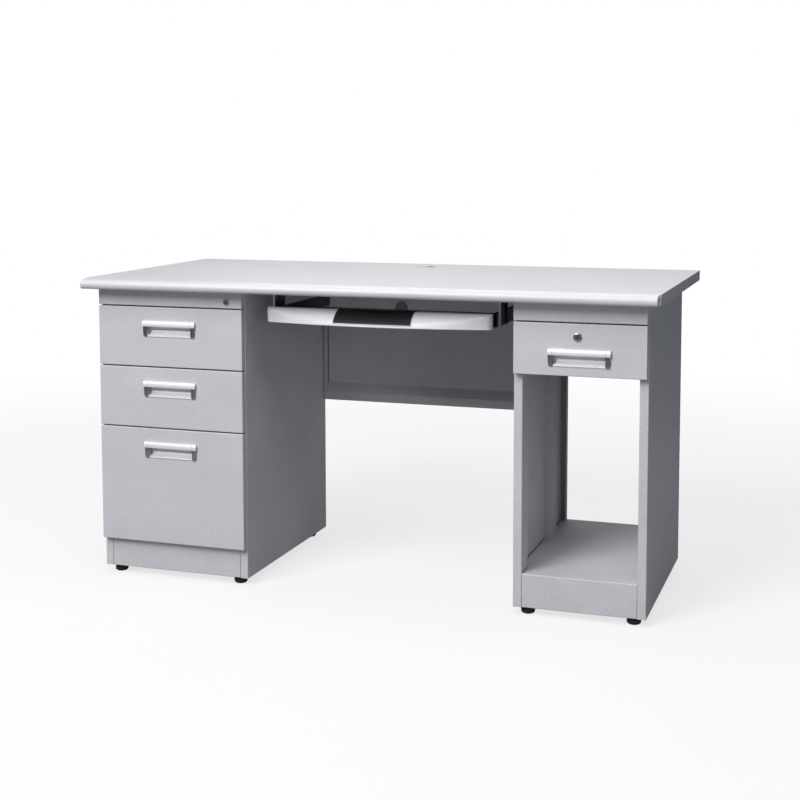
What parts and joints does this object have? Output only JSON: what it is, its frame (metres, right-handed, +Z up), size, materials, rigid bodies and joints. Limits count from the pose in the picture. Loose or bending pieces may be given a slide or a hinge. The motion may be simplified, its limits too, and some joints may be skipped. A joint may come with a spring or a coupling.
{
  "type": "teacher desk",
  "caption": "Steel pedestal desk with a laminated top, stacked drawers at one side, a locking drawer over a computer bay, and a pull-out keyboard tray.",
  "frame": {"origin": "on the floor, under the middle of the desktop", "axes": "+X along the desktop to the sitter's right, +Y from the sitter's edge to the back, +Z up"},
  "size_m": [1.4, 0.7, 0.74],
  "materials": {
    "top_laminate": "satin laminate",
    "nose_laminate": "satin laminate",
    "edge_band": "matt",
    "steel_paint": "fine powder coat",
    "inner_paint": "fine powder coat",
    "handle_chrome": "satin plated",
    "handle_metal": "satin anodised",
    "runner_steel": "black zinc",
    "tray_paint": "fine powder coat",
    "fascia_plastic": "satin",
    "insert_plastic": "fine grain",
    "grommet_plastic": "satin",
    "cable_cap_plastic": "satin",
    "lock_chrome": "polished",
    "foot_plastic": "fine grain"
  },
  "bodies": {
    "desk": {"desktop_board": "top_laminate", "desktop_edge_bands": "edge_band", "desktop_nose": "nose_laminate", "grommet_sleeve": "grommet_plastic", "left_outer_side": "steel_paint", "left_inner_side": "steel_paint", "right_outer_side": "steel_paint", "right_inner_side": "steel_paint", "left_back_panel": "steel_paint", "left_base_pan": "steel_paint", "right_base_pan": "steel_paint", "pedestal_frames": "inner_paint", "left_fascia": "steel_paint", "right_fascia": "steel_paint", "modesty_panel": "steel_paint", "modesty_cable_cap": "cable_cap_plastic", "tray_brackets": "runner_steel", "runners_outer": "runner_steel", "left_lock_body": "lock_chrome"},
    "left_upper_drawer": {"left_upper_front": "steel_paint", "left_upper_box": "inner_paint", "left_upper_handle_cup": "handle_chrome", "left_upper_handle_bar": "handle_metal", "left_upper_runners_inner": "runner_steel"},
    "left_upper_middle_runners": {"left_upper_runners_middle": "runner_steel"},
    "left_middle_drawer": {"left_middle_front": "steel_paint", "left_middle_box": "inner_paint", "left_middle_handle_cup": "handle_chrome", "left_middle_handle_bar": "handle_metal", "left_middle_runners_inner": "runner_steel"},
    "left_middle_middle_runners": {"left_middle_runners_middle": "runner_steel"},
    "left_lower_drawer": {"left_lower_front": "steel_paint", "left_lower_box": "inner_paint", "left_lower_handle_cup": "handle_chrome", "left_lower_handle_bar": "handle_metal", "left_lower_runners_inner": "runner_steel"},
    "left_lower_middle_runners": {"left_lower_runners_middle": "runner_steel"},
    "right_drawer": {"right_front": "steel_paint", "right_box": "inner_paint", "right_handle_cup": "handle_chrome", "right_handle_bar": "handle_metal", "right_runners_inner": "runner_steel", "right_lock_body": "lock_chrome"},
    "right_middle_runners": {"right_runners_middle": "runner_steel"},
    "keyboard_tray": {"tray_shelf": "tray_paint", "tray_fascia": "fascia_plastic", "tray_insert": "insert_plastic", "tray_runners_inner": "runner_steel"},
    "tray_middle_runners": {"tray_runners_middle": "runner_steel"},
    "left_lock": {"left_lock_plug": "lock_chrome"},
    "right_lock": {"right_lock_plug": "lock_chrome"},
    "grommet_lid": {"grommet_cap": "grommet_plastic"},
    "left_foot_1_glide": {"left_foot_1": "foot_plastic"},
    "left_foot_2_glide": {"left_foot_2": "foot_plastic"},
    "left_foot_3_glide": {"left_foot_3": "foot_plastic"},
    "left_foot_4_glide": {"left_foot_4": "foot_plastic"},
    "right_foot_1_glide": {"right_foot_1": "foot_plastic"},
    "right_foot_2_glide": {"right_foot_2": "foot_plastic"},
    "right_foot_3_glide": {"right_foot_3": "foot_plastic"},
    "right_foot_4_glide": {"right_foot_4": "foot_plastic"}
  },
  "joints": [
    {"name": "left_upper_drawer_slide", "type": "slide", "parent": "desk", "child": "left_upper_drawer", "axis": [0, -1, 0], "range_m": [0, 0.35]},
    {"name": "left_upper_middle_runners_slide", "type": "slide", "parent": "desk", "child": "left_upper_middle_runners", "axis": [0, -1, 0], "range_m": [0, 0.175]},
    {"name": "left_middle_drawer_slide", "type": "slide", "parent": "desk", "child": "left_middle_drawer", "axis": [0, -1, 0], "range_m": [0, 0.35]},
    {"name": "left_middle_middle_runners_slide", "type": "slide", "parent": "desk", "child": "left_middle_middle_runners", "axis": [0, -1, 0], "range_m": [0, 0.175]},
    {"name": "left_lower_drawer_slide", "type": "slide", "parent": "desk", "child": "left_lower_drawer", "axis": [0, -1, 0], "range_m": [0, 0.35]},
    {"name": "left_lower_middle_runners_slide", "type": "slide", "parent": "desk", "child": "left_lower_middle_runners", "axis": [0, -1, 0], "range_m": [0, 0.175]},
    {"name": "right_drawer_slide", "type": "slide", "parent": "desk", "child": "right_drawer", "axis": [0, -1, 0], "range_m": [0, 0.35]},
    {"name": "right_middle_runners_slide", "type": "slide", "parent": "desk", "child": "right_middle_runners", "axis": [0, -1, 0], "range_m": [0, 0.175]},
    {"name": "keyboard_tray_slide", "type": "slide", "parent": "desk", "child": "keyboard_tray", "axis": [0, -1, 0], "range_m": [0, 0.25]},
    {"name": "tray_middle_runners_slide", "type": "slide", "parent": "desk", "child": "tray_middle_runners", "axis": [0, -1, 0], "range_m": [0, 0.125]},
    {"name": "left_lock_turn", "type": "hinge", "parent": "desk", "child": "left_lock", "pos_m": [-0.325, -0.3, 0.69], "axis": [0, 1, 0], "range_deg": [0, 90]},
    {"name": "right_lock_turn", "type": "hinge", "parent": "right_drawer", "child": "right_lock", "pos_m": [0.5185, -0.3, 0.6395], "axis": [0, -1, 0], "range_deg": [0, 90]},
    {"name": "grommet_lid_turn", "type": "hinge", "parent": "desk", "child": "grommet_lid", "pos_m": [0, 0.245, 0.74], "axis": [0, 0, 1], "continuous": true},
    {"name": "left_foot_1_turn", "type": "hinge", "parent": "desk", "child": "left_foot_1_glide", "pos_m": [-0.642, -0.265, 0.01], "axis": [0, 0, 1], "continuous": true},
    {"name": "left_foot_2_turn", "type": "hinge", "parent": "desk", "child": "left_foot_2_glide", "pos_m": [-0.642, 0.186, 0.01], "axis": [0, 0, 1], "continuous": true},
    {"name": "left_foot_3_turn", "type": "hinge", "parent": "desk", "child": "left_foot_3_glide", "pos_m": [-0.314, -0.265, 0.01], "axis": [0, 0, 1], "continuous": true},
    {"name": "left_foot_4_turn", "type": "hinge", "parent": "desk", "child": "left_foot_4_glide", "pos_m": [-0.314, 0.186, 0.01], "axis": [0, 0, 1], "continuous": true},
    {"name": "right_foot_1_turn", "type": "hinge", "parent": "desk", "child": "right_foot_1_glide", "pos_m": [0.402, -0.265, 0.01], "axis": [0, 0, 1], "continuous": true},
    {"name": "right_foot_2_turn", "type": "hinge", "parent": "desk", "child": "right_foot_2_glide", "pos_m": [0.402, 0.186, 0.01], "axis": [0, 0, 1], "continuous": true},
    {"name": "right_foot_3_turn", "type": "hinge", "parent": "desk", "child": "right_foot_3_glide", "pos_m": [0.642, -0.265, 0.01], "axis": [0, 0, 1], "continuous": true},
    {"name": "right_foot_4_turn", "type": "hinge", "parent": "desk", "child": "right_foot_4_glide", "pos_m": [0.642, 0.186, 0.01], "axis": [0, 0, 1], "continuous": true}
  ],
  "couplings": [
    {"joint": "left_upper_middle_runners_slide", "follows": "left_upper_drawer_slide", "ratio": 0.5},
    {"joint": "left_middle_middle_runners_slide", "follows": "left_middle_drawer_slide", "ratio": 0.5},
    {"joint": "left_lower_middle_runners_slide", "follows": "left_lower_drawer_slide", "ratio": 0.5},
    {"joint": "right_middle_runners_slide", "follows": "right_drawer_slide", "ratio": 0.5},
    {"joint": "tray_middle_runners_slide", "follows": "keyboard_tray_slide", "ratio": 0.5}
  ]
}
